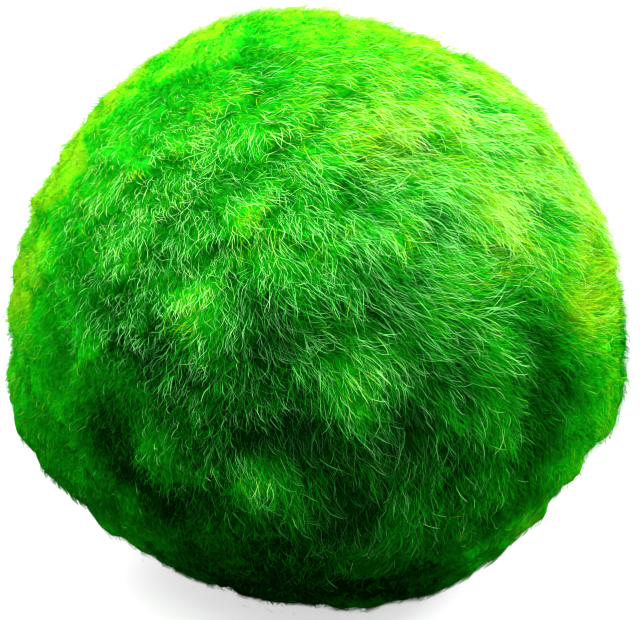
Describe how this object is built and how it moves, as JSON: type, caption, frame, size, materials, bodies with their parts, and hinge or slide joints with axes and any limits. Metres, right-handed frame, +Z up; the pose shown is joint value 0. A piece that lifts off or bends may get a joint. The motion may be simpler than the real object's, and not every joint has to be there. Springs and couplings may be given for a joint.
{
  "type": "marimo moss ball",
  "caption": "Soft round ball of bright green filamentous alga, combed to one side and darker below, resting on a small flat spot; decor for an aquarium or a jar.",
  "frame": {"origin": "on the resting surface, under the centre of the ball's own box", "axes": "+Z up, out of the surface it rests on; -Y towards the side that the picture shows; +X to the right of that view"},
  "size_m": [0.051, 0.0506, 0.0492],
  "materials": {
    "moss": "matte, densely fibrous: bright yellow-green at the filament tips, deep green between them"
  },
  "bodies": {
    "root": {"moss_ball": "moss"}
  },
  "joints": []
}
